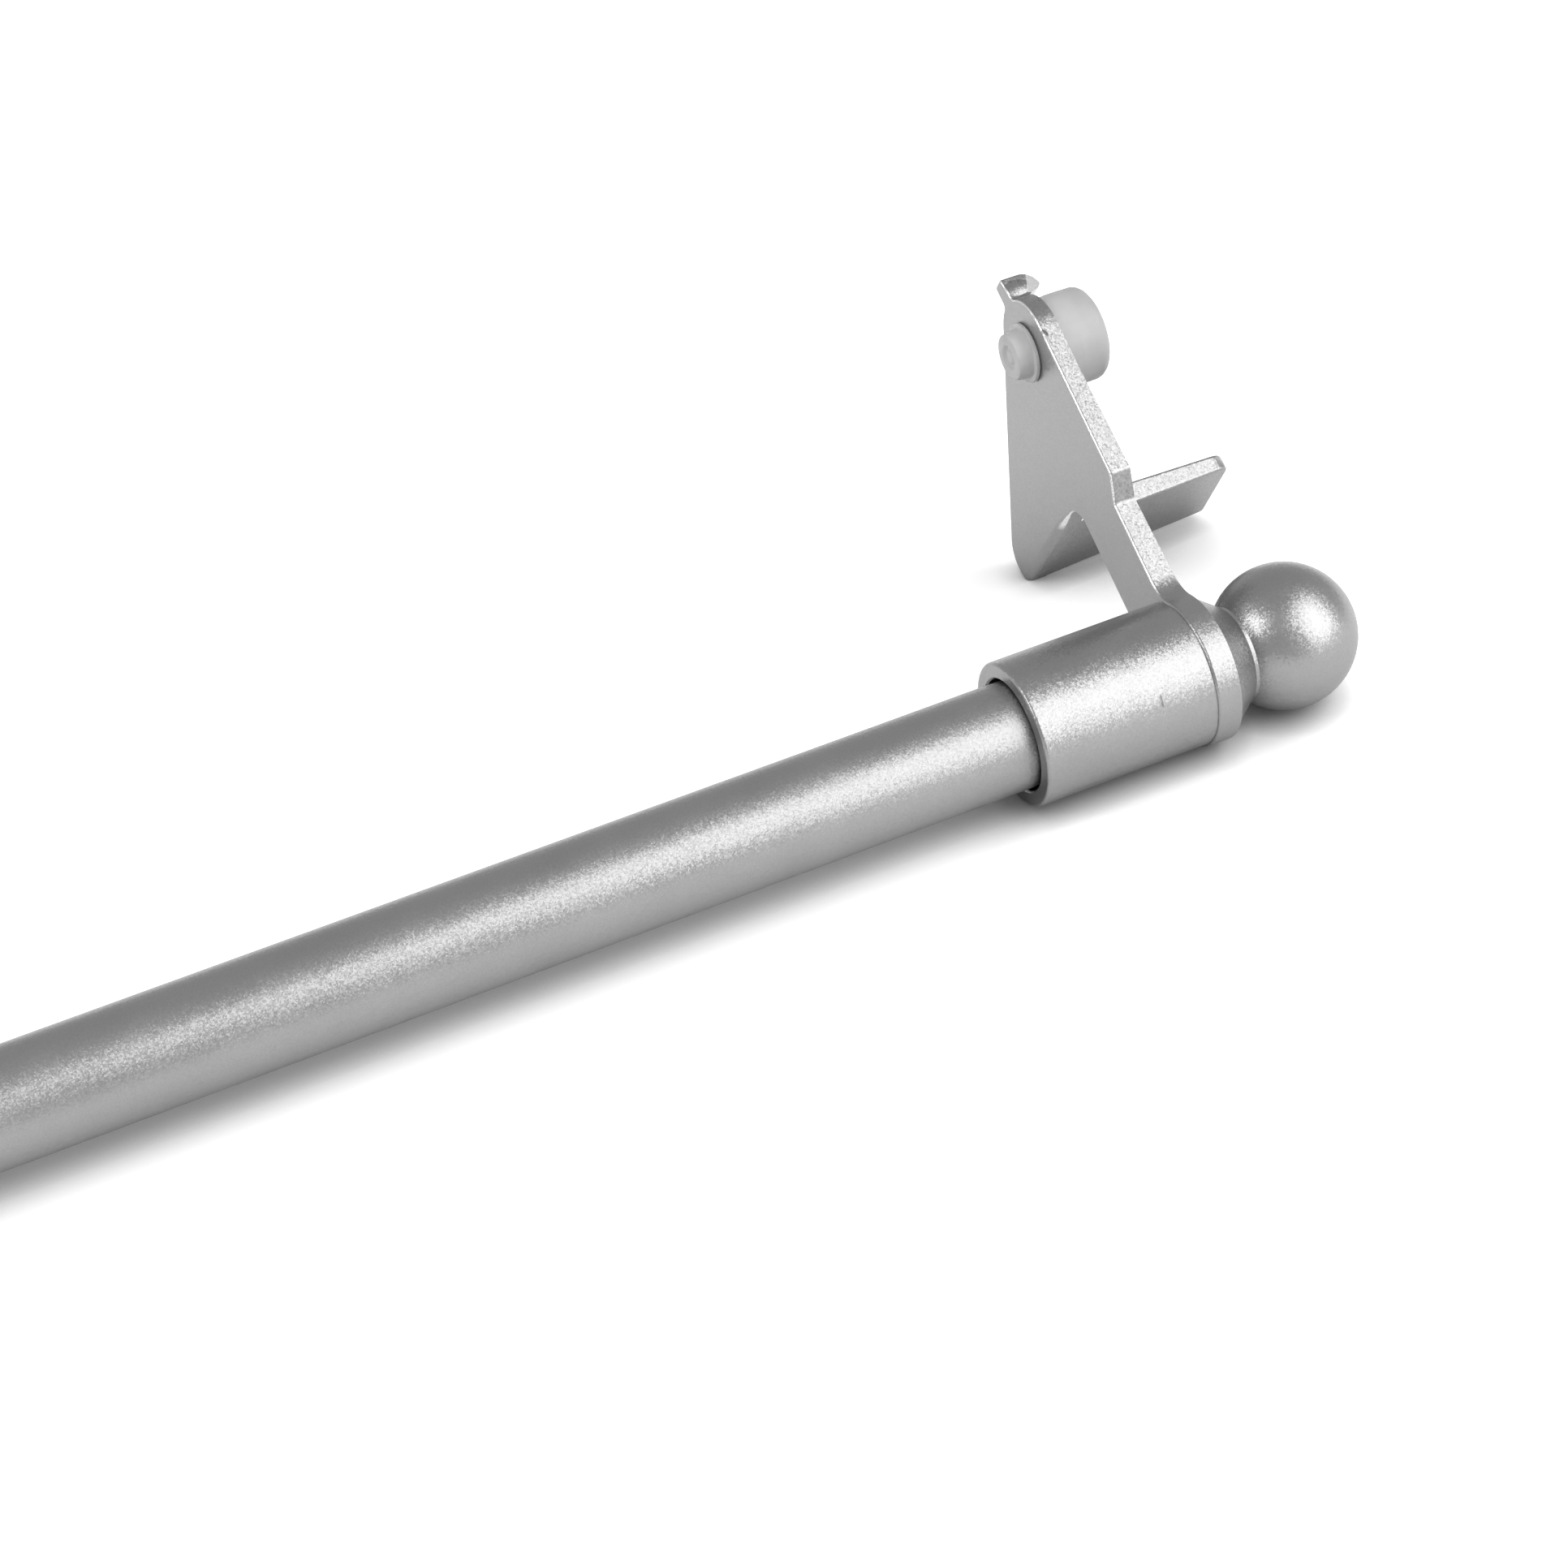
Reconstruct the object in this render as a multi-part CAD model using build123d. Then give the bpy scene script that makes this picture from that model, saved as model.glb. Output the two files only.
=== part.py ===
from build123d import *
import os
from math import asin, atan2, degrees, hypot, radians, sqrt, tan

# Cafe rod that clamps across a window recess: a telescopic sprung rod between two cast brackets.
# The rod runs along X and lies on a table at z = 0, as it rests by itself. Millimetres.
# A bracket is drawn with the rod's axis as its X axis and its barrel rim at x = 0. Its depth (Y)
# points at the window and its height (Z) up the sash. It is then turned to lie on its ring and foot.

# Whole rod
recess_width = 400.0        # between the pads' outer faces, rod pushed right in
spring_travel = 12.0
inner_shown = 9.0           # stretch of the inner tube in the open, rod and spring pushed right in
lock_room = 37.0            # between the inner tube's hidden end and the plug of the outer tube
fit_gap = 0.02              # radial, plugs pressed in tubes
run_gap = 0.05              # radial, pieces that slide or turn in one another
end_gap = 0.2               # between a tube end and the floor of its socket
past = 1.0                  # how far a cut runs past the face that it leaves through

# Tubes
outer_tube_r = 5.5
outer_wall = 0.5
inner_tube_r = 4.5
inner_wall = 0.4
tube_edge = 0.15
inner_mouth_edge = 0.3

# Bracket: barrel, ring and ball, all turned about the rod
barrel_r = 7.5
barrel_l = 18.9
socket_r = 5.85
socket_l = 18.0
rim_edge = 0.35
ring_r = 7.75
ring_l = 2.6
ring_edge = 0.3
ring_tuck = 0.5             # how deep the turned body's steps lie inside the ring
shoulder_r = 5.35
shoulder_l = 2.85
neck_r = 4.95
neck_l = 0.45
ball_r = 7.5
ball_x = 30.8

# Bracket: flat arm with its head and heel, a plate as thick as the ring
arm_top = 3.4
arm_bottom = -5.3
step_depth = 17.8           # where the arm's upper edge steps up to the head's width
step_run = 2.45
head_depth = 37.3
head_height = 0.5
head_r = 5.3
head_thickness = 2.05
heel_r = 3.45
heel_inset = 2.05
arm_top_fillet = 4.0
arm_bottom_fillet = 3.0
crook_fillet = 2.5
step_fillet = 0.5
plate_edge = 0.28

# Bracket: foot, a tapered tab that lies on the front of the sash
foot_front = 21.75
foot_root_t = 2.6
foot_tip_t = 1.7
foot_top = -11.7
foot_tip_top = -13.2
foot_bottom = -26.45
foot_tip_bottom = -26.1
foot_reach = 21.2           # from the plate's inner face to the top of the foot's tip
foot_tip_lean = 0.95        # how much further the tip reaches at its bottom
foot_root_in = 2.1          # from the plate's inner face to where the taper starts
foot_bend_r = 0.9
foot_tip_top_r = 1.7
foot_tip_bottom_r = 0.6
foot_edge = 0.3
foot_root_fillet = 0.6

# Bracket: claw on the head's far side, a block as thick as the head with a beak on its outer side
claw_rise = 2.35            # how far it stands out of the head's rim
claw_bottom = 0.05
claw_top = 2.35             # at the head's rim
claw_fall = 12.0            # slope of its top towards the far end
claw_corner = 0.35
claw_root_fillet = 0.5
claw_pad_gap = 0.4          # from the pad to the underside of the beak
claw_block_l = 2.1
claw_l = 4.35               # from the plate's inner face to the beak's tip
claw_brow_fillet = 0.8
claw_shoulder_in = 0.65     # set back from the tip
claw_shoulder_drop = 0.65   # below the claw's far end
claw_tip_drop = 1.4
claw_lip_in = 0.6
claw_lip_drop = 1.95
claw_neck_out = 0.5         # where the underside starts, from the plate's outer face
claw_slope = 28.0           # slope of the beak's top towards its tip

# Pad of soft silicone, pressed through the head
pad_back = 0.1              # the pad's hole lies a little back from the head's centre
pad_drop = 0.25             # and a little below it
pad_r = 4.9
pad_out = 7.5               # from the plate's inner face to the pad's outer face
pad_edge = 1.1
pad_hole_r = 2.1
button_r = 3.1
button_l = 0.5
nub_root_r = 2.75
nub_r = 2.3
nub_l = 1.6
nub_edge = 0.5
dimple_r = 1.0
dimple_l = 0.35
pad_seat_gap = 0.03

# End plug of the outer tube and bush in its mouth
plug_flange_l = 0.6
plug_stem_l = 8.0
plug_wall = 1.2
bush_lip_l = 1.2
bush_l = 12.0

# Twist lock at the hidden end of the inner tube
anchor_l = 12.0
anchor_flange_l = 0.8
screw_r = 2.0
screw_pitch = 0.7
screw_in_anchor = 8.0
screw_collar_r = 3.0
screw_collar_l = 1.0
screw_collar_x = 4.2        # from the anchor plug's end face
screw_tip_x = 31.0
sleeve_base_l = 3.8
sleeve_l = 20.0
sleeve_bore_r = 3.6
sleeve_slots = 4
sleeve_slot_w = 1.0
sleeve_slot_l = 15.0
cone_angle = 12.0           # half angle of the taper
cone_engaged = 5.0          # stretch of the taper that lies inside the sleeve
cone_l = 9.0
cone_rest_gap = 0.03        # radial gap that is left once the lock is twisted
rib_back = 1.0              # from the cone's small end to the start of its ribs
lock_turn = 360.0           # twist that draws the cone up
clip_l = 0.8
clip_r = 3.2
clip_mouth_w = 3.2

# Sprung end: plunger, spring and its stop
cap_out = 3.8               # stretch of the cap that shows outside the socket
cap_edge = 0.3
lip_l = 1.0
lip_r = 3.6
stem_guide_l = 20.0
pilot_r = 2.3
pilot_l = 4.0
spring_wire_r = 0.45
spring_mean_r = 3.3
spring_turns = 11
spring_l = 40.0
stop_l = 9.0
crimp_depth = 0.25
crimp_w = 1.6

# Places worked out from the sizes above
rim_x = recess_width / 2 - barrel_l - pad_out
outer_end_x = rim_x + socket_l - end_gap - plug_flange_l
cap_end_x = -(rim_x + socket_l - end_gap)
cap_face_x = -rim_x + cap_out
inner_left_x = cap_face_x + spring_travel
outer_mouth_x = inner_left_x + inner_shown
inner_right_x = outer_end_x - plug_stem_l - lock_room
cone_draw = screw_pitch * lock_turn / 360
stem_end_x = inner_left_x + lip_l + stem_guide_l
stop_x = stem_end_x + spring_l
outer_bore_r = outer_tube_r - outer_wall
inner_bore_r = inner_tube_r - inner_wall
heel_centre = (foot_front + heel_inset, foot_bottom + sqrt(heel_r**2 - heel_inset**2))
foot_back = foot_front + foot_root_t
head_top = head_height + head_r
pad_depth = head_depth - pad_back
pad_height = head_height - pad_drop
lie_angle = degrees(atan2(-foot_bottom, foot_front) - asin(ring_r / hypot(foot_bottom, foot_front)))


def revolved(points):
    """Solid turned about the X axis from (x, radius) points."""
    outline = make_face(Polyline(*[(x, r) for x, r in points], close=True))
    return revolve(outline, Axis.X, 360)


def rod(x0, x1, r):
    """Plain cylinder along X."""
    upright = Cylinder(r, x1 - x0, align=(Align.CENTER, Align.CENTER, Align.MIN))
    return Location((x0, 0, 0), (0, 90, 0)) * upright


def ring_edges(solid, x, r):
    """The round edges of a solid that lie at x with radius r."""
    found = []
    for edge in solid.edges().filter_by(GeomType.CIRCLE):
        place = edge.arc_center
        if abs(place.X - x) < 0.01 and abs(edge.radius - r) < 0.01:
            found.append(edge)
    return found


def tangent_points(centre_a, r_a, centre_b, r_b):
    """Where the outer tangent of two circles, right of the way from a to b, touches each."""
    run = (centre_b[0] - centre_a[0], centre_b[1] - centre_a[1])
    gap = hypot(*run)
    along = (r_a - r_b) / gap
    across = -sqrt(1 - along**2)
    normal = ((run[0] * along - run[1] * across) / gap, (run[1] * along + run[0] * across) / gap)
    touch_a = (centre_a[0] + normal[0] * r_a, centre_a[1] + normal[1] * r_a)
    touch_b = (centre_b[0] + normal[0] * r_b, centre_b[1] + normal[1] * r_b)
    return touch_a, touch_b


def corner(sketch, depth, height):
    """The corner of a sketch nearest to a place."""
    return sketch.vertices().sort_by_distance((depth, height, 0))[0]


def claw_side():
    """Outline of the claw's block, seen along the rod: (depth, height)."""
    rim = head_depth + head_r
    far = rim + claw_rise
    fall = tan(radians(claw_fall))
    far_top = claw_top - claw_rise * fall
    block = make_face(Polyline(
        (head_depth, claw_bottom),
        (far, claw_bottom),
        (far, far_top),
        (head_depth, claw_top + head_r * fall),
        close=True,
    ))
    return fillet([corner(block, far, claw_bottom), corner(block, far, far_top)], claw_corner)


def plate_sketch():
    """Outline of the ring's eye, arm, heel, head and claw, seen along the rod: (depth, height)."""
    head = (head_depth, head_height)
    heel_touch, head_touch = tangent_points(heel_centre, heel_r, head, head_r)
    arm = make_face(Polyline(
        (0, arm_top),
        (step_depth, arm_top),
        (step_depth + step_run, head_top),
        (head_depth, head_top),
        (foot_back, arm_bottom),
        (0, arm_bottom),
        close=True,
    ))
    web = make_face(Polyline(
        (foot_front, head_top),
        (head_depth, head_top),
        head,
        head_touch,
        heel_touch,
        heel_centre,
        (foot_front, foot_bottom),
        close=True,
    ))
    heel = Pos(*heel_centre) * Circle(heel_r)
    heel_room = Pos(foot_front, foot_bottom - heel_r) * Rectangle(
        2 * head_depth, -foot_bottom, align=(Align.MIN, Align.MIN))
    plate = arm + web + Pos(*head) * Circle(head_r) + (heel & heel_room)
    plate = fillet(corner(plate, foot_front, arm_bottom), crook_fillet)
    plate = fillet([corner(plate, step_depth, arm_top), corner(plate, step_depth + step_run, head_top)],
                   step_fillet)
    plate += claw_side()
    rim = head_depth + head_r
    plate = fillet([corner(plate, rim, claw_bottom), corner(plate, rim, claw_top)], claw_root_fillet)
    plate += Circle(ring_r)
    plate = fillet(corner(plate, sqrt(ring_r**2 - arm_top**2), arm_top), arm_top_fillet)
    return fillet(corner(plate, sqrt(ring_r**2 - arm_bottom**2), arm_bottom), arm_bottom_fillet)


def plate():
    """Ring, arm and head as one plate that thins from the ring to the head, and is flat there."""
    flat = extrude(Plane.YZ.offset(barrel_l) * plate_sketch(), ring_l)
    ring_face = barrel_l + ring_l
    head_face = barrel_l + head_thickness
    beyond = 2 * head_depth
    waste = make_face(Polyline(
        (ring_face, ring_r),
        (head_face, head_depth - head_r),
        (head_face, beyond),
        (ring_face, beyond),
        close=True,
    ))
    return flat - extrude(waste, beyond, both=True)


def foot():
    """Tapered tab that stands out of the plate, thinner and lower towards its tip."""
    root_x = barrel_l + foot_root_in
    tip_x = barrel_l + foot_reach
    far_x = tip_x + foot_tip_lean
    from_above = make_face(Polyline(
        (root_x, foot_front),
        (far_x, foot_back - foot_tip_t),
        (far_x, foot_back),
        (root_x, foot_back),
        close=True,
    ))
    from_behind = make_face(Polyline(
        (root_x, foot_top),
        (tip_x, foot_tip_top),
        (far_x, foot_tip_bottom),
        (root_x, foot_bottom),
        close=True,
    ))
    from_behind = fillet(corner(from_behind, tip_x, foot_tip_top), foot_tip_top_r)
    from_behind = fillet(corner(from_behind, far_x, foot_tip_bottom), foot_tip_bottom_r)
    tab = extrude(from_above, 2 * foot_bottom, both=True) & extrude(Plane.XZ * from_behind, -2 * foot_back)
    rims = tab.faces().sort_by(Axis.Y)[-1].edges() + tab.faces().sort_by(Axis.Y)[0].edges()
    return fillet([edge for edge in rims if edge.center().X > root_x + run_gap], foot_edge)


def foot_root():
    """Fillet in the corner between the foot's back face and the plate's outer face."""
    face_x = barrel_l + foot_root_in
    r = foot_root_fillet
    near = r * (1 - sqrt(0.5))
    hollow = ThreePointArc(
        (face_x, foot_back + r),
        (face_x + near, foot_back + near),
        (face_x + r, foot_back),
    )
    inside = Polyline(
        (face_x + r, foot_back),
        (face_x + r, foot_back - foot_edge),
        (face_x - foot_edge, foot_back - foot_edge),
        (face_x - foot_edge, foot_back + r),
        (face_x, foot_back + r),
    )
    length = foot_top - foot_bottom - 2 * foot_edge
    return Pos(0, 0, foot_bottom + foot_edge) * extrude(make_face([hollow, inside]), length)


def fold_cut():
    """What comes off the fold between inner face and foot: a rounding that fades in below the arm."""
    sections = []
    for height, r in (
        (arm_bottom - crook_fillet, plate_edge),
        (foot_top, foot_bend_r),
        (foot_bottom - past, foot_bend_r),
    ):
        hollow = r * (1 - sqrt(0.5))
        outside = Polyline(
            (barrel_l + r, foot_front),
            (barrel_l + r, foot_front - past),
            (barrel_l - past, foot_front - past),
            (barrel_l - past, foot_front + r),
            (barrel_l, foot_front + r),
        )
        rounding = ThreePointArc(
            (barrel_l, foot_front + r),
            (barrel_l + hollow, foot_front + hollow),
            (barrel_l + r, foot_front),
        )
        sections.append(Pos(0, 0, height) * make_face([outside, rounding]))
    return loft(sections, ruled=True)


def beak():
    """What the claw's block carries on its outer side: a beak that falls away to a blunt tip."""
    root_x = head_thickness / 2
    far = head_depth + head_r + claw_rise
    under = pad_depth + pad_r + claw_pad_gap
    from_above = make_face(Polyline(
        (root_x, under),
        (root_x, far),
        (claw_block_l, far),
        (claw_l - claw_shoulder_in, far - claw_shoulder_drop),
        (claw_l, far - claw_tip_drop),
        (claw_l - claw_lip_in, far - claw_lip_drop),
        (head_thickness + claw_neck_out, under),
        close=True,
    ))
    from_above = fillet(corner(from_above, claw_block_l, far), claw_brow_fillet)
    from_above = fillet(corner(from_above, claw_l, far - claw_tip_drop), claw_corner)
    body = Pos(barrel_l, 0, 0) * extrude(from_above, far, both=True)
    body &= extrude(Plane.YZ.offset(barrel_l) * claw_side(), claw_l)
    above = Box(far, far, far, align=(Align.MIN, Align.CENTER, Align.MIN))
    return body - Pos(barrel_l + claw_block_l, far, claw_top) * Rot(0, claw_slope, 0) * above


def turned_part():
    """Barrel, shoulder and ball, with the blind socket for the tube."""
    ring_x = barrel_l + ring_l
    shoulder_x = ring_x + shoulder_l
    neck_x = shoulder_x + neck_l
    ball_touch_x = ball_x - sqrt(ball_r**2 - neck_r**2)
    outline = Polyline(
        (0, 0),
        (0, barrel_r),
        (barrel_l + ring_tuck, barrel_r),
        (ring_x - ring_tuck, ring_r - ring_edge),
        (ring_x, ring_r - ring_edge),
        (shoulder_x, shoulder_r),
        (neck_x, neck_r),
        (ball_touch_x, neck_r),
    )
    ball = ThreePointArc(
        (ball_touch_x, neck_r),
        (ball_x, ball_r),
        (ball_x + ball_r, 0),
    )
    axis = Line((ball_x + ball_r, 0), (0, 0))
    body = revolve(make_face([outline, ball, axis]), Axis.X, 360)
    body = fillet(ring_edges(body, 0, barrel_r), rim_edge)
    body -= rod(-past, socket_l, socket_r)
    return chamfer(ring_edges(body, 0, socket_r), rim_edge / 2)


def bracket():
    """One casting: barrel, ring, ball, arm, head, foot and claw."""
    flat = plate()
    flat = fillet(flat.faces().sort_by(Axis.X)[0].outer_wire().edges(), plate_edge)
    cast = flat + foot() + foot_root() - fold_cut()
    cast += turned_part() + beak()
    hole = Pos(0, pad_depth, pad_height) * rod(0, barrel_l + ring_l + past, pad_hole_r)
    return cast - rod(-past, socket_l, socket_r) - hole


def pad():
    """Soft disc with a stem through the head and a stepped button on the inner side."""
    seat_x = barrel_l + head_thickness
    outer_x = barrel_l + pad_out
    button_x = barrel_l - button_l
    nub_x = button_x - nub_l
    stem_r = pad_hole_r - pad_seat_gap
    body = revolved([
        (nub_x, 0),
        (nub_x, nub_r),
        (button_x, nub_root_r),
        (button_x, button_r),
        (barrel_l, button_r),
        (barrel_l, stem_r),
        (seat_x, stem_r),
        (seat_x, pad_r),
        (outer_x, pad_r),
        (outer_x, 0),
    ])
    body = fillet(ring_edges(body, outer_x, pad_r), pad_edge)
    body = fillet(ring_edges(body, nub_x, nub_r), nub_edge)
    body -= rod(nub_x - past, nub_x + dimple_l, dimple_r)
    return Pos(0, pad_depth, pad_height) * body


def outer_tube():
    tube = rod(outer_mouth_x, outer_end_x, outer_tube_r)
    ends = ring_edges(tube, outer_mouth_x, outer_tube_r) + ring_edges(tube, outer_end_x, outer_tube_r)
    tube = chamfer(ends, tube_edge)
    return tube - rod(outer_mouth_x - past, outer_end_x + past, outer_bore_r)


def outer_end_plug():
    stem_r = outer_bore_r - fit_gap
    plug = rod(outer_end_x, outer_end_x + plug_flange_l, outer_tube_r)
    plug += rod(outer_end_x - plug_stem_l, outer_end_x, stem_r)
    return plug - rod(outer_end_x - plug_stem_l - past, outer_end_x - plug_wall, stem_r - plug_wall)


def mouth_bush():
    bush = rod(outer_mouth_x - bush_lip_l, outer_mouth_x, outer_tube_r)
    bush = fillet(ring_edges(bush, outer_mouth_x - bush_lip_l, outer_tube_r), bush_lip_l / 2)
    bush += rod(outer_mouth_x, outer_mouth_x + bush_l, outer_bore_r - fit_gap)
    return bush - rod(outer_mouth_x - 2 * bush_lip_l, outer_mouth_x + bush_l + past, inner_tube_r + run_gap)


def crimp(r):
    """Rolled groove that holds the spring stop: a shallow ring cut to r."""
    x = stop_x + stop_l / 2
    deep = r - crimp_depth
    return revolved([
        (x - crimp_w / 2, r),
        (x - crimp_w / 4, deep),
        (x + crimp_w / 4, deep),
        (x + crimp_w / 2, r),
        (x + crimp_w / 2, r + past),
        (x - crimp_w / 2, r + past),
    ])


def inner_tube():
    shell = rod(inner_left_x, inner_right_x, inner_tube_r) - crimp(inner_tube_r)
    bore = rod(inner_left_x + lip_l, inner_right_x + past, inner_bore_r) - crimp(inner_bore_r)
    tube = shell - bore - rod(inner_left_x - past, inner_left_x + lip_l + past, lip_r)
    return fillet(ring_edges(tube, inner_left_x, inner_tube_r), inner_mouth_edge)


def spring_stop():
    stop_r = inner_bore_r - fit_gap
    body = rod(stop_x, stop_x + stop_l, stop_r) - crimp(stop_r)
    body += rod(stop_x - pilot_l, stop_x, pilot_r)
    return body - rod(stop_x - pilot_l - past, stop_x + stop_l + past, pilot_r / 2)


def end_plunger():
    """Cap as thick as the outer tube, thin neck through the inner tube's lip, and guide stem."""
    cap = rod(cap_end_x, cap_face_x, outer_tube_r)
    ends = ring_edges(cap, cap_end_x, outer_tube_r) + ring_edges(cap, cap_face_x, outer_tube_r)
    cap = fillet(ends, cap_edge)
    neck = rod(cap_face_x - past, inner_left_x + lip_l, lip_r - run_gap)
    guide = rod(inner_left_x + lip_l, stem_end_x, inner_bore_r - run_gap)
    pilot = rod(stem_end_x, stem_end_x + pilot_l, pilot_r)
    return cap + neck + guide + pilot


def tension_spring():
    """Compression spring between the plunger's stem and the stop."""
    wire_d = 2 * spring_wire_r
    start = stem_end_x + spring_wire_r
    pitch = (spring_l - wire_d) / spring_turns
    path = Location((start, 0, 0), (0, 90, 0)) * Helix(pitch, spring_l - wire_d, spring_mean_r)
    section = Plane(path @ 0, z_dir=path % 0) * Circle(spring_wire_r)
    return sweep(section, path, is_frenet=True)


def anchor_plug():
    flange = rod(inner_right_x, inner_right_x + anchor_flange_l, inner_tube_r)
    body = flange + rod(inner_right_x - anchor_l, inner_right_x, inner_bore_r - fit_gap)
    face_x = inner_right_x + anchor_flange_l
    return body - rod(face_x - screw_in_anchor, face_x + past, screw_r)


def lock_screw():
    face_x = inner_right_x + anchor_flange_l
    screw = rod(face_x - screw_in_anchor, face_x + screw_tip_x, screw_r)
    collar_x = face_x + screw_collar_x
    screw += rod(collar_x, collar_x + screw_collar_l, screw_collar_r)
    clip_x = face_x + screw_tip_x - 2 * clip_l
    groove = rod(clip_x, clip_x + clip_l, clip_r) - rod(clip_x, clip_x + clip_l, screw_r - clip_l / 2)
    return screw - groove


def screw_clip():
    clip_x = inner_right_x + anchor_flange_l + screw_tip_x - 2 * clip_l
    clip = rod(clip_x, clip_x + clip_l, clip_r)
    clip -= rod(clip_x - past, clip_x + clip_l + past, screw_r - clip_l / 2)
    mouth = Box(clip_l, clip_mouth_w, 2 * clip_r, align=(Align.MIN, Align.CENTER, Align.MIN))
    return clip - Pos(clip_x, 0, 0) * mouth


def taper(x_mouth, r_mouth, length):
    """Cone that narrows towards -X from its mouth, at the lock's taper angle."""
    r_small = r_mouth - length * tan(radians(cone_angle))
    return revolved([(x_mouth - length, 0), (x_mouth - length, r_small), (x_mouth, r_mouth), (x_mouth, 0)])


def lock_sleeve():
    """Split sleeve: a base ring that turns on the screw, and fingers opened out by the cone."""
    base_x = inner_right_x + anchor_flange_l + run_gap
    end_x = base_x + sleeve_l
    mouth_r = sleeve_bore_r + cone_engaged * tan(radians(cone_angle))
    body = rod(base_x, end_x, outer_bore_r - run_gap)
    body -= rod(base_x - past, end_x, screw_r + run_gap)
    body -= rod(base_x + sleeve_base_l, end_x + past, sleeve_bore_r)
    body -= taper(end_x, mouth_r, cone_engaged)
    slot = Pos(end_x, 0, 0) * Box(
        sleeve_slot_l, sleeve_slot_w, outer_bore_r, align=(Align.MAX, Align.CENTER, Align.MIN))
    for index in range(sleeve_slots):
        body -= Rot(360 / sleeve_slots * index, 0, 0) * slot
    return body


def lock_cone():
    """Nut on the screw: its taper enters the sleeve, and its ribs run in the sleeve's slots."""
    mouth_x = inner_right_x + anchor_flange_l + run_gap + sleeve_l
    slope = tan(radians(cone_angle))
    mouth_r = sleeve_bore_r + (cone_engaged - cone_draw) * slope - cone_rest_gap
    nut_l = cone_l - cone_engaged
    body = taper(mouth_x, mouth_r, cone_engaged) + rod(mouth_x, mouth_x + nut_l, mouth_r)
    rib_w = sleeve_slot_w - 2 * run_gap
    rib = Pos(mouth_x, 0, 0) * Box(
        cone_engaged - rib_back, rib_w, mouth_r, align=(Align.MAX, Align.CENTER, Align.MIN))
    for index in range(sleeve_slots):
        body += Rot(360 / sleeve_slots * index, 0, 0) * rib
    return body - rod(mouth_x - cone_l, mouth_x + cone_l, screw_r + run_gap)


def lie_down(solid):
    """From the bracket's own frame to the table: turned about the rod, and lifted on to its ring."""
    return Pos(0, 0, ring_r) * Rot(lie_angle, 0, 0) * solid


def build():
    on_right = Pos(rim_x, 0, 0)
    cast = lie_down(on_right * bracket())
    soft = lie_down(on_right * pad())
    nodes = {
        "bracket_right": cast,
        "pad_right": soft,
        "bracket_left": mirror(cast, about=Plane.YZ),
        "pad_left": mirror(soft, about=Plane.YZ),
    }
    on_axis = {
        "outer_tube": outer_tube,
        "outer_end_plug": outer_end_plug,
        "mouth_bush": mouth_bush,
        "inner_tube": inner_tube,
        "end_plunger": end_plunger,
        "tension_spring": tension_spring,
        "spring_stop": spring_stop,
        "anchor_plug": anchor_plug,
        "lock_screw": lock_screw,
        "screw_clip": screw_clip,
        "lock_sleeve": lock_sleeve,
        "lock_cone": lock_cone,
    }
    for name, make in on_axis.items():
        nodes[name] = Pos(0, 0, ring_r) * make()
    return nodes


# The origin is under the middle of the rod's box, on the table.
nodes = build()
box = nodes["bracket_right"].bounding_box()
middle = (box.min.Y + box.max.Y) / 2
os.makedirs("parts", exist_ok=True)
for name, shape in nodes.items():
    export_step(Pos(0, -middle, 0) * shape, f"parts/{name}.step")
print("lie angle", round(lie_angle, 3), "shift in Y", round(-middle, 4))
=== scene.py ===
import math

import bmesh
import bpy
from mathutils import Matrix, Vector, noise


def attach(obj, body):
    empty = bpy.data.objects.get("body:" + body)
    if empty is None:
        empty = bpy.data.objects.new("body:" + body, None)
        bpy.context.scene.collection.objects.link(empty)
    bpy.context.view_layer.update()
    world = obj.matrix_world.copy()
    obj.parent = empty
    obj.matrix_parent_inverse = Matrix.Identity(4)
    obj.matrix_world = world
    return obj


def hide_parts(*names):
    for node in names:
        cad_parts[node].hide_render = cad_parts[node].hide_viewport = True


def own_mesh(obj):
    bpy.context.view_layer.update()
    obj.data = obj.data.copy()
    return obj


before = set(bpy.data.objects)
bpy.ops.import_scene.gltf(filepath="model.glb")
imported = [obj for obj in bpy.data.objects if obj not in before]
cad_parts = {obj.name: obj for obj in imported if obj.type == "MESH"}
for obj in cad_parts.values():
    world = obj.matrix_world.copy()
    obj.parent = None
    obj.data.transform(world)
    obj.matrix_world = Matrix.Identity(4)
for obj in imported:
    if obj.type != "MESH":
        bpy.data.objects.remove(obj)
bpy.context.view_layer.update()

MM = 0.001
WHITE = (1.0, 1.0, 1.0, 1.0)

# Places in the part, in metres
AXIS_Y = -0.0144967         # the rod's axis
AXIS_Z = 0.00775
PLATE_IN_X = 0.1925         # inner face of the brackets' plates, on either side
LIE = math.radians(37.489)  # how far the brackets' arms rise from the floor
PAD_DEPTH = 0.0372          # the pad's centre, along the arm from the rod's axis
PAD_HEIGHT = 0.00025


def on_bracket(x, depth, height, side=1):
    """A place given from the rod's axis, as the bracket is drawn, in the frame."""
    return Vector((
        side * x,
        AXIS_Y + depth * math.cos(LIE) - height * math.sin(LIE),
        AXIS_Z + depth * math.sin(LIE) + height * math.cos(LIE),
    ))


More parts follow.
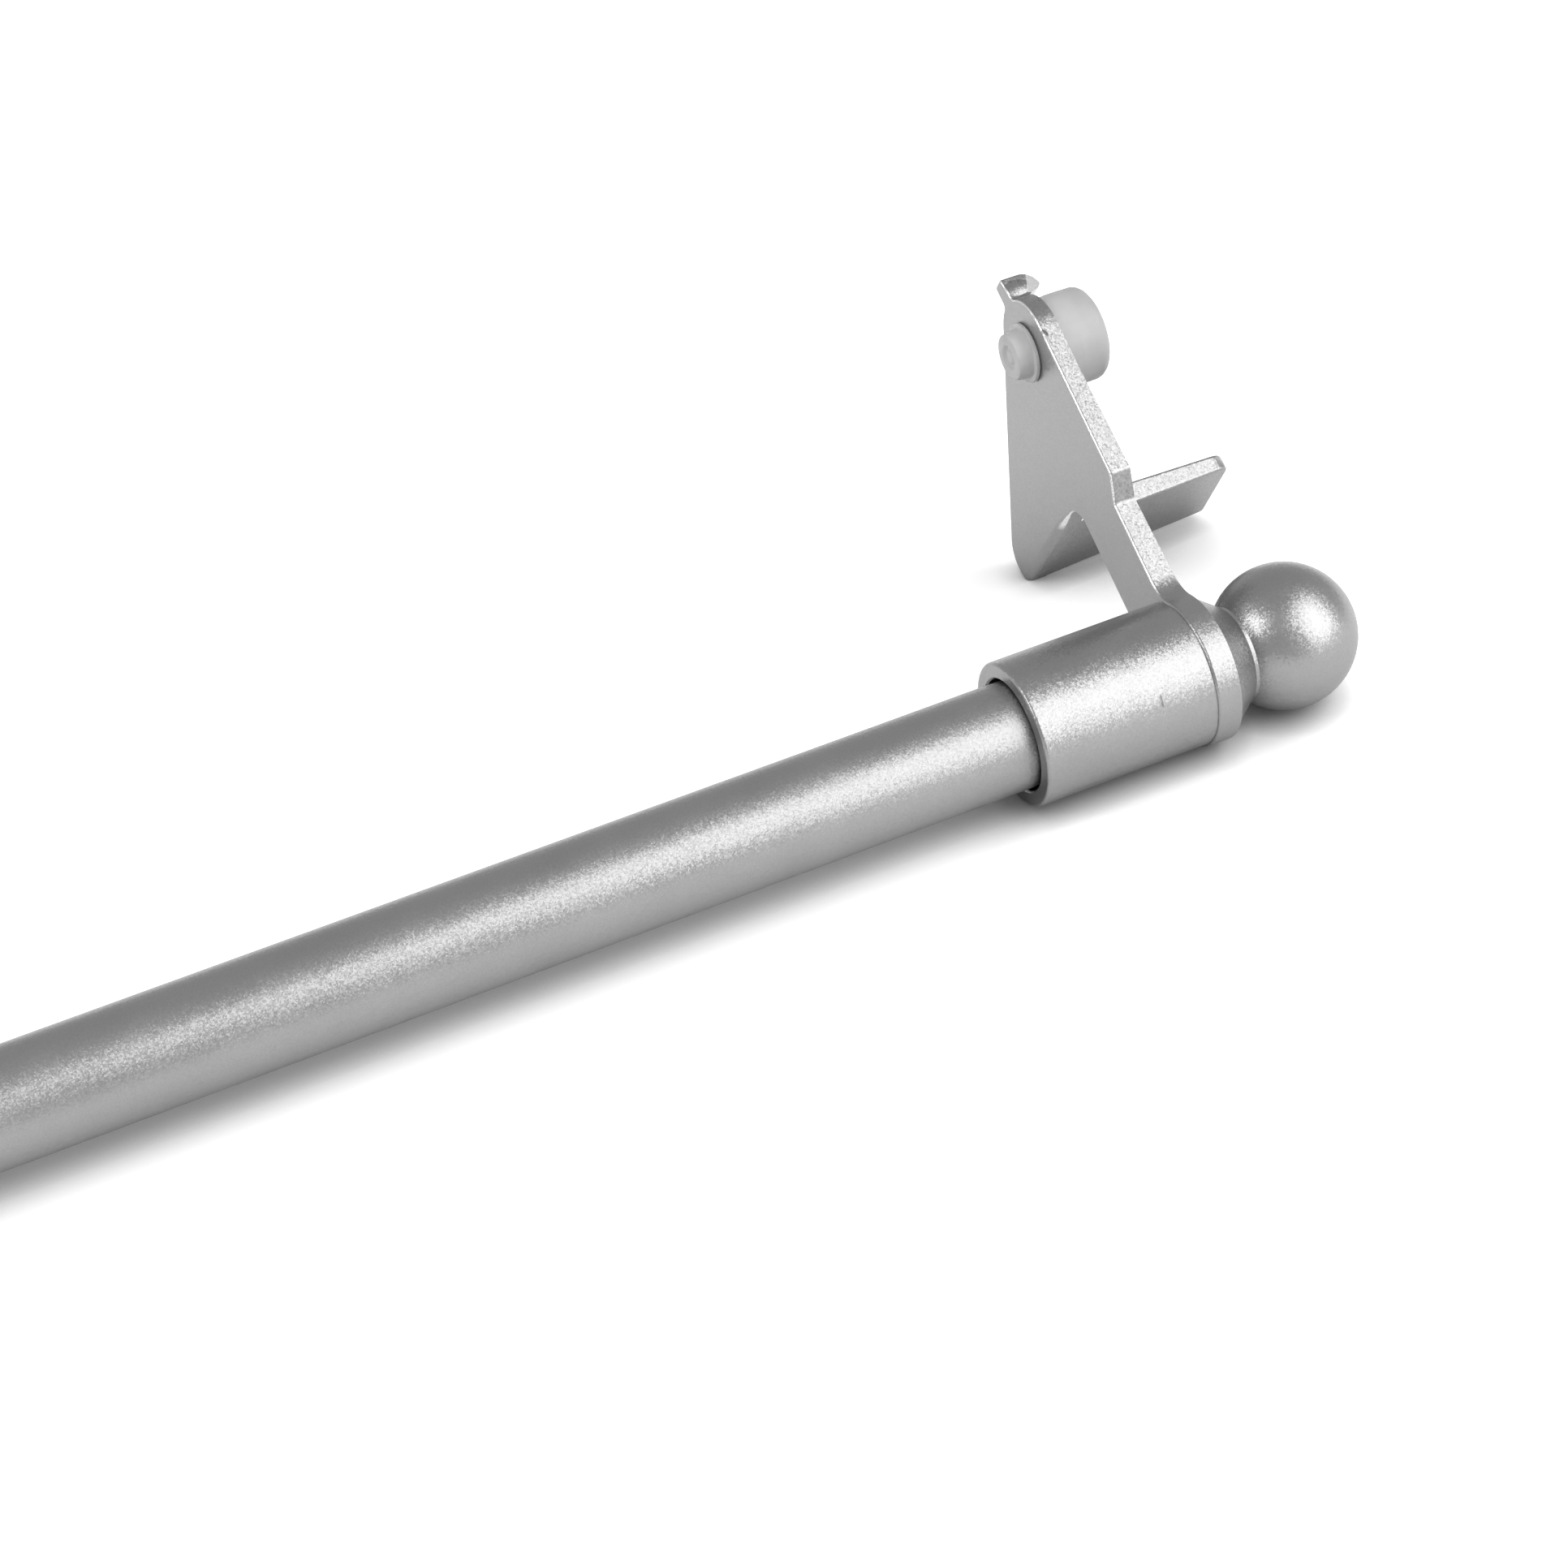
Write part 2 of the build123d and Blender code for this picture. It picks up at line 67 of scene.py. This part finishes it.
# Node helpers
class Shader:
    """A material under construction, with short names for its nodes."""

    def __init__(self, name):
        self.material = bpy.data.materials.new(name)
        self.material.use_nodes = True
        self.tree = self.material.node_tree
        self.tree.nodes.clear()
        self.out = self.node("OutputMaterial")
        self.bsdf = self.node("BsdfPrincipled")
        self.link(self.bsdf.outputs[0], self.out.inputs["Surface"])
        self.place = self.node("TexCoord").outputs["Object"]

    def node(self, kind):
        return self.tree.nodes.new("ShaderNode" + kind)

    def link(self, source, target):
        self.tree.links.new(source, target)

    def set(self, **values):
        for key, value in values.items():
            self.bsdf.inputs[key.replace("_", " ")].default_value = value

    def feed(self, socket, value):
        if isinstance(value, (int, float, tuple)):
            socket.default_value = value
        else:
            self.link(value, socket)

    def noise(self, scale, detail=2.0, rough=0.5, place=None):
        node = self.node("TexNoise")
        node.inputs["Scale"].default_value = scale
        node.inputs["Detail"].default_value = detail
        node.inputs["Roughness"].default_value = rough
        self.link(place or self.place, node.inputs["Vector"])
        return node.outputs["Fac"]

    def cells(self, scale, output="Color"):
        node = self.node("TexVoronoi")
        node.inputs["Scale"].default_value = scale
        self.link(self.place, node.inputs["Vector"])
        return node.outputs[output]

    def math(self, kind, *values):
        node = self.node("Math")
        node.operation = kind
        for socket, value in zip(node.inputs, values):
            self.feed(socket, value)
        return node.outputs[0]

    def product(self, first, *others):
        for other in others:
            first = self.math("MULTIPLY", first, other)
        return first

    def span(self, value, low, high, to_low, to_high):
        """The range from low to high carried over to another range, and held there."""
        node = self.node("MapRange")
        self.link(value, node.inputs["Value"])
        for key, number in (
                ("From Min", low), ("From Max", high), ("To Min", to_low), ("To Max", to_high)):
            node.inputs[key].default_value = number
        return node.outputs[0]

    def spread(self, value, to_low, to_high):
        """The range that a noise mostly keeps to, carried over to another range."""
        return self.span(value, 0.3, 0.7, to_low, to_high)

    def vector(self, kind, a, b=None, scale=None, output=0):
        node = self.node("VectorMath")
        node.operation = kind
        self.feed(node.inputs[0], a)
        if b is not None:
            self.feed(node.inputs[1], b)
        if scale is not None:
            self.feed(node.inputs["Scale"], scale)
        return node.outputs[output]

    def length(self, vector):
        return self.vector("LENGTH", vector, output="Value")

    def split(self, vector):
        node = self.node("SeparateXYZ")
        self.link(vector, node.inputs[0])
        return node.outputs

    def mix(self, factor, a, b):
        node = self.node("Mix")
        node.data_type = "RGBA"
        self.feed(node.inputs[0], factor)
        self.feed(node.inputs[6], a)
        self.feed(node.inputs[7], b)
        return node.outputs[2]

    def grey(self, value):
        node = self.node("CombineColor")
        for socket in node.inputs:
            self.feed(socket, value)
        return node.outputs[0]

    def normal(self):
        return self.node("NewGeometry").outputs["Normal"]

    def flakes(self, scale, tilt):
        """The surface's normal, tipped a little another way in each flake."""
        lean = self.vector("SUBTRACT", self.cells(scale), (0.5, 0.5, 0.5))
        lean = self.vector("SCALE", lean, scale=self.math("MULTIPLY", tilt, 2.0))
        return self.vector("NORMALIZE", self.vector("ADD", self.normal(), lean))

    def across(self):
        """How far the surface faces along the rod: 1 on the plates' faces, 0 on their edges."""
        return self.math("ABSOLUTE", self.split(self.normal())[0])

    def off_axis(self, low, high):
        """0 close to the rod's axis, 1 well away from it."""
        centred = self.vector("SUBTRACT", self.place, (0.0, AXIS_Y, AXIS_Z))
        flat = self.vector("MULTIPLY", centred, (0.0, 1.0, 1.0))
        return self.span(self.length(flat), low, high, 0.0, 1.0)

    def above(self, low, high):
        """0 below a height over the floor, 1 above it."""
        return self.span(self.split(self.place)[2], low, high, 0.0, 1.0)

    def mark(self, centre, shape, radius):
        """1 in a small spot that is narrowed along each axis by its shape."""
        place = self.vector("MULTIPLY", self.vector("SUBTRACT", self.place, tuple(centre)), shape)
        return self.span(self.length(place), radius / 2, radius, 1.0, 0.0)

    def occlusion(self, reach, darkest):
        """1 in the open, and down to the darkest in a crease."""
        node = self.node("AmbientOcclusion")
        node.samples = 6
        node.inputs["Distance"].default_value = reach
        return self.span(node.outputs["AO"], 0.0, 1.0, darkest, 1.0)

    def bump(self, height, distance, normal=None):
        node = self.node("Bump")
        node.inputs["Strength"].default_value = 1.0
        node.inputs["Distance"].default_value = distance
        self.link(height, node.inputs["Height"])
        if normal:
            self.link(normal, node.inputs["Normal"])
        return node.outputs[0]

    def finish(self, color, rough, normal):
        self.link(color, self.bsdf.inputs["Base Color"])
        self.link(rough, self.bsdf.inputs["Roughness"])
        self.link(normal, self.bsdf.inputs["Normal"])
        return self.material


# Silver lacquer
CLOUD_SCALE = 160.0             # slow change of tone
FLAKE_SCALE = 7500.0
RELIEF_SCALE = 900.0            # waviness of the film
RELIEF_HEIGHT = 0.000003
SPECKLE_SCALE = 3000.0          # pits in the plates' edges
PLATE_STARTS = (0.0082, 0.0095)  # distances from the axis where the barrel gives way to the plate
RIM_WEAR_AND_HIGHLIGHT_ABOVE = (0.011, 0.013)   # the heel's fold, lower down, gets neither the rims' wear nor their painted highlight
RUB_POLISH = 0.1


def silver(name, base, rough, tilt, wear_and_highlight=0.0, scars=()):
    """Metal flakes, each tipped its own way, under a thin clear film.

    On pieces with wear, the plates' edges are pitted, and the rims between an edge and a face are
    rubbed smoother and painted brighter: partly wear, partly a painted highlight along the edges'
    rounding.
    Each scar is a small dent or lump, and a dent's colour is also darkened, a painted shade in its
    hollow.
    """
    s = Shader(name)
    s.set(Metallic=1.0, Coat_Weight=0.45, Coat_Roughness=0.24)
    cloud = s.noise(CLOUD_SCALE)
    glint = s.span(s.cells(FLAKE_SCALE, "Distance"), 0.0, 0.7, 1.05, 0.94)
    value = s.product(s.spread(cloud, base * 0.97, base * 1.03), glint)
    roughness = s.spread(cloud, rough - 0.02, rough + 0.02)
    relief = s.product(s.noise(RELIEF_SCALE), RELIEF_HEIGHT)
    if wear_and_highlight:
        across, plate = s.across(), s.off_axis(*PLATE_STARTS)
        speckle = s.noise(SPECKLE_SCALE, 3.0, 0.6)
        strip = s.product(s.span(across, 0.25, 0.45, 1.0, 0.0), plate)
        # The rims between an edge and a face: partly wear, partly a painted highlight along the edges'
        # rounding
        rim_wear_and_highlight = s.product(s.span(across, 0.3, 0.5, 0.0, 1.0), s.span(across, 0.82, 0.95, 1.0, 0.0))
        rim_wear_and_highlight = s.product(rim_wear_and_highlight, plate, s.above(*RIM_WEAR_AND_HIGHLIGHT_ABOVE), s.span(speckle, 0.3, 0.5, 0.6, 1.0))
        pits = s.product(strip, s.span(speckle, 0.42, 0.66, -0.06, 0.14))
        value = s.product(value, s.math("SUBTRACT", 1.0, pits))
        # Painted highlight, partly wear: the rims' colour is made brighter
        value = s.math("ADD", value, s.product(rim_wear_and_highlight, wear_and_highlight))
        roughness = s.math("SUBTRACT", roughness, s.product(rim_wear_and_highlight, RUB_POLISH))
        tilt = s.math("MULTIPLY_ADD", strip, 0.1 * tilt, tilt)
    for centre, shape, radius, height in scars:
        spot = s.mark(centre, shape, radius)
        relief = s.math("ADD", relief, s.product(spot, height))
        # Painted shade: a dent's colour is darkened, as shade in its hollow
        if height < 0:
            value = s.product(value, s.span(spot, 0.0, 1.0, 1.0, 0.7))
    normal = s.bump(relief, 1.0, s.flakes(FLAKE_SCALE, tilt))
    return s.finish(s.grey(value), roughness, normal)


def silicone():
    """Milky silicone: frosted, and see-through enough to pick up what lies behind it."""
    s = Shader("milky_silicone")
    s.set(IOR=1.41, Transmission_Weight=0.4)
    haze = s.noise(420.0, 3.0, 0.6)
    from_middle = s.math("ABSOLUTE", s.split(s.place)[0])
    # Painted shade: the disc outside the plate is made darker than the button inside it, though both are
    # one silicone
    disc_painted_shade = s.span(from_middle, PLATE_IN_X - 0.2 * MM, PLATE_IN_X + 0.2 * MM, 1.0, 0.70)
    flow = s.span(s.noise(150.0, 2.0, 0.6), 0.35, 0.65, 0.9, 1.04)
    color = s.grey(s.product(s.spread(haze, 0.86, 0.93), flow, disc_painted_shade))
    rough = s.spread(s.noise(900.0), 0.36, 0.52)
    return s.finish(color, rough, s.bump(haze, 0.00005))


def plastic(name, base, rough):
    """Plain moulded plastic with a fine sparked surface."""
    s = Shader(name)
    pits = s.noise(5200.0)
    color = s.grey(s.spread(s.noise(240.0), base * 0.96, base * 1.04))
    return s.finish(color, s.spread(pits, rough - 0.05, rough + 0.05), s.bump(pits, 0.00001))


def steel(name, base, rough):
    """Drawn or plated steel with fine marks along X."""
    s = Shader(name)
    s.set(Metallic=1.0)
    stretch = s.node("Mapping")
    stretch.inputs["Scale"].default_value = (0.05, 1.0, 1.0)
    s.link(s.place, stretch.inputs["Vector"])
    marks = s.noise(9000.0, 3.0, 0.6, stretch.outputs[0])
    color = s.grey(s.spread(marks, base * 0.9, base * 1.08))
    return s.finish(color, s.spread(marks, rough - 0.06, rough + 0.08), s.bump(marks, 0.000004))


# Small flaws of the casting that shows, each as place, shape, radius and height: a tick on the
# barrel, a blister and a nick at the head, and a lump at the claw's root; the tick and the nick are
# dents, painted darker as shade
SCARS = (
    (Vector((0.1867, -0.02133, 0.01079)), (7.0, 1.0, 1.0), 0.0008, -0.00005),
    (on_bracket(PLATE_IN_X, 0.03636, 0.00617), (1.0, 1.0, 1.0), 0.0007, 0.0003),
    (on_bracket(PLATE_IN_X, 0.0351, 0.00603), (1.0, 1.0, 2.0), 0.0004, -0.00006),
    (on_bracket(PLATE_IN_X + 1.3 * MM, 0.0437, 0.0034), (0.7, 1.0, 1.0), 0.0016, 0.0006),
)
FINISHES = (
    (silver("cast_silver", 0.37, 0.36, 0.094, 1.1, SCARS), ("bracket_right", "bracket_left")),
    (silver("tube_silver", 0.37, 0.4, 0.085), ("outer_tube", "inner_tube")),
    (plastic("grey_plastic", 0.32, 0.5), ("mouth_bush", "outer_end_plug", "spring_stop", "anchor_plug")),
    (plastic("white_plastic", 0.72, 0.42), ("lock_sleeve", "lock_cone")),
    (silver("silver_plastic", 0.4, 0.42, 0.05), ("end_plunger",)),
    (steel("zinc_steel", 0.6, 0.3), ("lock_screw",)),
    (steel("spring_wire", 0.45, 0.35), ("screw_clip", "tension_spring")),
)
for finish, names in FINISHES:
    for name in names:
        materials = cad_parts[name].data.materials
        materials.clear()
        materials.append(finish)
soft_clear = silicone()


def stand_in(name, mesh, node, body):
    """Puts a mesh of the scene's own in a node's place."""
    thing = bpy.data.objects.new(name, mesh)
    bpy.context.scene.collection.objects.link(thing)
    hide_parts(node)
    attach(thing, body)
    return thing


# Pads: each moulded in one piece, with its disc outside the head and its button inside.
# The profile runs from the button's dimple to the middle of the disc, as distance outwards
# from the plate's inner face, radius and rounding, in mm
PAD_PROFILE = (
    (-1.95, 0.0, 0), (-1.95, 0.55, 0.1), (-1.65, 1.0, 0.2), (-2.1, 1.35, 0.3), (-2.05, 2.38, 0.18),
    (-0.5, 2.66, 0.06), (-0.5, 3.15, 0.1), (-0.1, 3.15, 0.06), (-0.03, 2.75, 0.05),
    (-0.03, 2.04, 0.05), (2.05, 2.04, 0.1), (2.05, 4.85, 0.12), (4.2, 4.94, 1.2), (7.5, 4.9, 1.15),
    (7.44, 3.2, 0.3), (7.32, 2.9, 0.3), (7.36, 0.0, 0),
)
PAD_AROUND = 96
PAD_LONGEST = 0.35      # longest run of a profile between two rings
PAD_PULL = 0.035        # how far the soft shape is out of true
PAD_TRUE_BELOW = 2.1    # radius of the stem, which is true


def arcs(points, steps=6):
    """A profile from (x, radius, rounding) points, its corners rounded off."""
    line = []
    for index, (x, r, rounding) in enumerate(points):
        here = Vector((x, r))
        if not rounding:
            line.append(here)
            continue
        back = (Vector(points[index - 1][:2]) - here).normalized()
        on = (Vector(points[index + 1][:2]) - here).normalized()
        half = back.angle(on) / 2
        reach = rounding / math.tan(half)
        start, end = here + back * reach, here + on * reach
        centre = here + (back + on).normalized() * rounding / math.sin(half)
        for step in range(steps + 1):
            spoke = (start - centre).lerp(end - centre, step / steps).normalized()
            line.append(centre + spoke * rounding)
    return line


def densify(line, longest):
    """Adds points on a profile's long runs."""
    full = [line[0]]
    for start, end in zip(line, line[1:]):
        count = max(1, math.ceil((end - start).length / longest))
        full.extend(start.lerp(end, n / count) for n in range(1, count + 1))
    return full


def pad_point(x, r, turn, side):
    """A point of the pad, pulled slightly out of true as soft mouldings are."""
    wave = noise.noise(Vector((x * 0.35, 1.6 * math.cos(turn), 1.6 * math.sin(turn) + 7.0 * side)))
    pull = (r + PAD_PULL * wave * min(1.0, max(0.0, r - PAD_TRUE_BELOW))) * MM
    return on_bracket(
        PLATE_IN_X + x * MM, PAD_DEPTH + pull * math.cos(turn), PAD_HEIGHT + pull * math.sin(turn), side)


def moulded_pad(name, body, node, side):
    """Silicone pad, lathed from its profile."""
    shape = bmesh.new()
    rings = []
    for x, r in densify(arcs(PAD_PROFILE), PAD_LONGEST):
        count = PAD_AROUND if r > 1e-6 else 1
        turns = [2 * math.pi * step / PAD_AROUND for step in range(count)]
        rings.append([shape.verts.new(pad_point(x, r, turn, side)) for turn in turns])
    for low, high in zip(rings, rings[1:]):
        for step in range(PAD_AROUND):
            on = (step + 1) % PAD_AROUND
            corners = [low[step % len(low)], low[on % len(low)]]
            corners += [high[on % len(high)], high[step % len(high)]]
            shape.faces.new(list(dict.fromkeys(corners))).smooth = True
    bmesh.ops.recalc_face_normals(shape, faces=shape.faces)
    mesh = bpy.data.meshes.new(name)
    shape.to_mesh(mesh)
    shape.free()
    mesh.materials.append(soft_clear)
    stand_in(name, mesh, node, body)


moulded_pad("pad_right_moulded", "bracket_r", "pad_right", 1)
moulded_pad("pad_left_moulded", "bracket_l", "pad_left", -1)


def coil_spring():
    """The spring: its own copy of the CAD coil's mesh, standing in for it on the inner body."""
    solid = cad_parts["tension_spring"]
    coil = stand_in("tension_coil", solid.data.copy(), "tension_spring", "inner")
    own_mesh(coil)


coil_spring()

# Floor: white, and it keeps the lamps' shadows; its colour is also darkened by ambient occlusion under
# the part, a painted shade
FLOOR_OWN = 0.65            # its colour in plain light
FLOOR_MIRRORED = 1.05       # as metal and silicone show it
FLOOR_SEEN = 1.55           # as the camera sees it, near the part and far away
FLOOR_FAR = 3.0
FAR_FLOOR = (0.35, 0.9)     # distances between which it gets brighter
CREASE = (0.03, 0.4)        # reach and darkest tone of the painted shade under the part
CONTACT = (0.003, 0.5)      # the same close to where the part touches the floor
FLOOR_SIZE = 8.0


def floor_material():
    s = Shader("floor_white")
    s.tree.nodes.remove(s.bsdf)
    diffuse = s.node("BsdfDiffuse")
    path = s.node("LightPath").outputs
    mirrored = s.math("MAXIMUM", path["Is Glossy Ray"], path["Is Transmission Ray"])
    level = s.mix(mirrored, (FLOOR_OWN,) * 3 + (1.0,), (FLOOR_MIRRORED,) * 3 + (1.0,))
    seen = s.span(s.length(s.place), *FAR_FLOOR, FLOOR_SEEN, FLOOR_FAR)
    level = s.mix(path["Is Camera Ray"], level, s.grey(seen))
    # Painted shade: ambient occlusion darkens the floor's colour under the part and close to where it
    # touches
    painted_shade = s.product(s.occlusion(*CREASE), s.occlusion(*CONTACT))
    s.link(s.vector("SCALE", level, scale=painted_shade), diffuse.inputs["Color"])
    s.link(diffuse.outputs[0], s.out.inputs["Surface"])
    return s.material


bpy.ops.mesh.primitive_plane_add(size=FLOOR_SIZE, location=(0.0, 0.0, 0.0))
floor = bpy.context.object
floor.name = "floor"
floor.data.materials.append(floor_material())

# World: a dim studio that the camera sees as white
STUDIO_LIGHT = 0.52
STUDIO_SEEN = 1.0
world = bpy.data.worlds.new("studio")
bpy.context.scene.world = world
world.use_nodes = True
studio = world.node_tree
background = studio.nodes["Background"]
background.inputs["Color"].default_value = WHITE
camera_ray = studio.nodes.new("ShaderNodeLightPath").outputs["Is Camera Ray"]
strength = studio.nodes.new("ShaderNodeMapRange")
strength.inputs["To Min"].default_value = STUDIO_LIGHT
strength.inputs["To Max"].default_value = STUDIO_SEEN
studio.links.new(camera_ray, strength.inputs["Value"])
studio.links.new(strength.outputs[0], background.inputs["Strength"])

# Lamps
LAMP_AIM = Vector((0.17, AXIS_Y, 0.01))
LAMP_DISTANCE = 0.9


def softbox(name, azimuth, elevation, width, height, radiance):
    """Square lamp that faces the bracket; the azimuth is counted from +Y to +X."""
    az, el = math.radians(azimuth), math.radians(elevation)
    way = Vector((math.sin(az) * math.cos(el), math.cos(az) * math.cos(el), math.sin(el)))
    data = bpy.data.lights.new(name, "AREA")
    data.shape = "RECTANGLE"
    data.size = width
    data.size_y = height
    data.energy = radiance * math.pi * width * height
    lamp = bpy.data.objects.new(name, data)
    lamp.location = LAMP_AIM + way * LAMP_DISTANCE
    lamp.rotation_euler = way.to_track_quat("Z", "Y").to_euler()
    bpy.context.scene.collection.objects.link(lamp)


softbox("key", azimuth=137.0, elevation=36.0, width=0.92, height=1.08, radiance=2.65)
softbox("side", azimuth=-90.0, elevation=41.0, width=0.40, height=0.34, radiance=5.0)

# Camera at the photograph's viewpoint
PHOTO_WIDTH = 1932.0
FOCAL_LENGTH = 4400.0       # in the photograph's pixels
SENSOR = 36.0
EYE = Vector((0.053858, -0.271429, 0.215314))
RIGHT = Vector((0.901961, -0.418652, -0.105819))
DOWN = Vector((-0.329207, -0.508081, -0.795913))
AHEAD = Vector((0.279445, 0.752718, -0.596092))
camera_data = bpy.data.cameras.new("camera")
camera_data.sensor_width = SENSOR
camera_data.lens = FOCAL_LENGTH / PHOTO_WIDTH * SENSOR
camera_data.clip_start = 0.01
camera = bpy.data.objects.new("camera", camera_data)
camera.matrix_world = Matrix.Translation(EYE) @ Matrix((RIGHT, -DOWN, -AHEAD)).transposed().to_4x4()
bpy.context.scene.collection.objects.link(camera)
bpy.context.scene.camera = camera
bpy.context.scene.view_settings.view_transform = "Standard"
